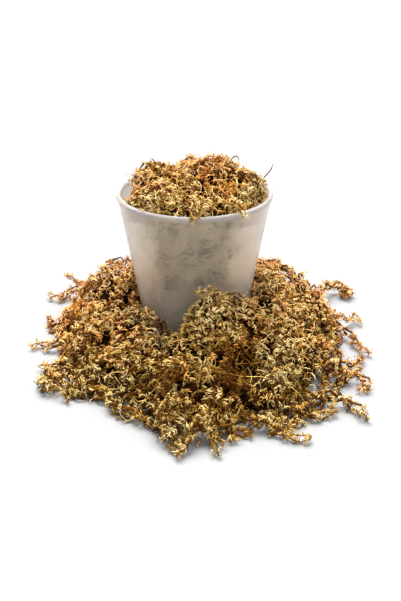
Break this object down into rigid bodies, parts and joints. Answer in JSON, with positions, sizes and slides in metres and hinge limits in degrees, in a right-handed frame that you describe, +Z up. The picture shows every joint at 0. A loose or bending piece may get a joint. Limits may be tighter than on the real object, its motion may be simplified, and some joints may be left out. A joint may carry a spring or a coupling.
{
  "type": "sphagnum moss clump",
  "caption": "Dried long-fibre sphagnum moss stuffed into a frosted round planter, with a loose heap of the same moss round its foot.",
  "frame": {"origin": "middle of the planter's underside, on the surface that the planter and the heap stand on", "axes": "+Z up; -Y towards the viewer, where the heap spreads widest; +X to the viewer's right"},
  "size_m": [0.264, 0.3027, 0.1431],
  "materials": {
    "frosted_plastic": "satin",
    "straw_moss": "matte",
    "olive_moss": "matte",
    "rust_moss": "matte"
  },
  "bodies": {
    "root": {"planter": "frosted_plastic", "heap_tuft_01": "olive_moss", "heap_tuft_02": "straw_moss", "heap_tuft_03": "straw_moss", "heap_tuft_04": "olive_moss", "heap_tuft_05": "straw_moss", "heap_tuft_06": "straw_moss", "heap_tuft_07": "olive_moss", "heap_tuft_08": "rust_moss", "heap_tuft_09": "straw_moss", "heap_tuft_10": "olive_moss", "heap_tuft_11": "straw_moss", "heap_tuft_12": "straw_moss", "heap_tuft_13": "rust_moss", "heap_tuft_14": "straw_moss", "heap_tuft_15": "rust_moss", "heap_tuft_16": "olive_moss", "heap_tuft_17": "straw_moss", "heap_tuft_18": "rust_moss", "heap_tuft_19": "olive_moss", "heap_tuft_20": "straw_moss", "heap_tuft_21": "straw_moss", "heap_tuft_22": "olive_moss", "heap_tuft_23": "rust_moss", "heap_tuft_24": "straw_moss", "potted_wad_low": "olive_moss", "potted_wad_high": "straw_moss", "dome_tuft_01": "rust_moss", "dome_tuft_02": "straw_moss", "dome_tuft_03": "rust_moss", "dome_tuft_04": "straw_moss", "dome_tuft_05": "rust_moss", "dome_tuft_06": "straw_moss", "dome_tuft_07": "rust_moss"}
  },
  "joints": []
}
